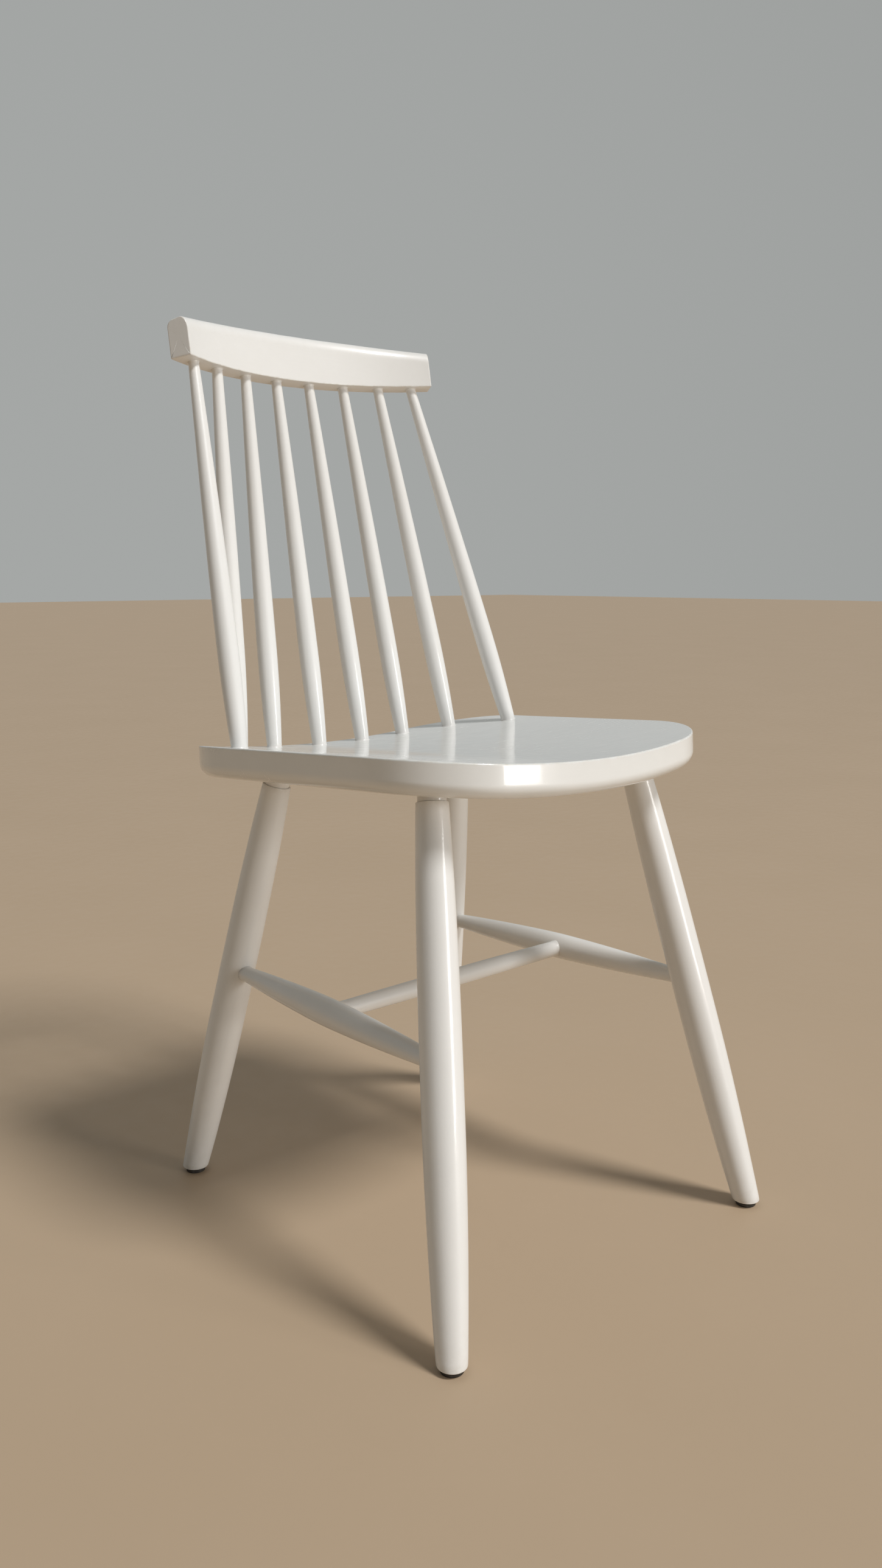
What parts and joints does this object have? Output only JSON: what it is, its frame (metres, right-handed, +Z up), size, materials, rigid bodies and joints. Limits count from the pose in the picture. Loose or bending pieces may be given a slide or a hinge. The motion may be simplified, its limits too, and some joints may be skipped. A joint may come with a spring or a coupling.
{
  "type": "dining chair",
  "caption": "Spindle-back dining chair with a bent board seat, splayed turned legs, an H-stretcher and a curved crest rail.",
  "frame": {"origin": "on the floor, at the centre of the chair's footprint box", "axes": "+Z up, front of the chair towards -Y, the sitter's left towards +X"},
  "size_m": [0.4082, 0.4872, 0.8394],
  "materials": {
    "frame_paint": "white satin paint on turned wood",
    "seat_paint": "white semi-gloss paint on a bent board",
    "glide": "dark matt"
  },
  "bodies": {
    "root": {"seat": "seat_paint", "crest_rail": "frame_paint", "back_spindle_1": "frame_paint", "back_spindle_2": "frame_paint", "back_spindle_3": "frame_paint", "back_spindle_4": "frame_paint", "back_spindle_5": "frame_paint", "back_spindle_6": "frame_paint", "back_spindle_7": "frame_paint", "back_spindle_8": "frame_paint", "front_right_leg": "frame_paint", "front_left_leg": "frame_paint", "rear_right_leg": "frame_paint", "rear_left_leg": "frame_paint", "right_side_stretcher": "frame_paint", "left_side_stretcher": "frame_paint", "cross_stretcher": "frame_paint", "front_right_glide": "glide", "front_left_glide": "glide", "rear_right_glide": "glide", "rear_left_glide": "glide"}
  },
  "joints": []
}
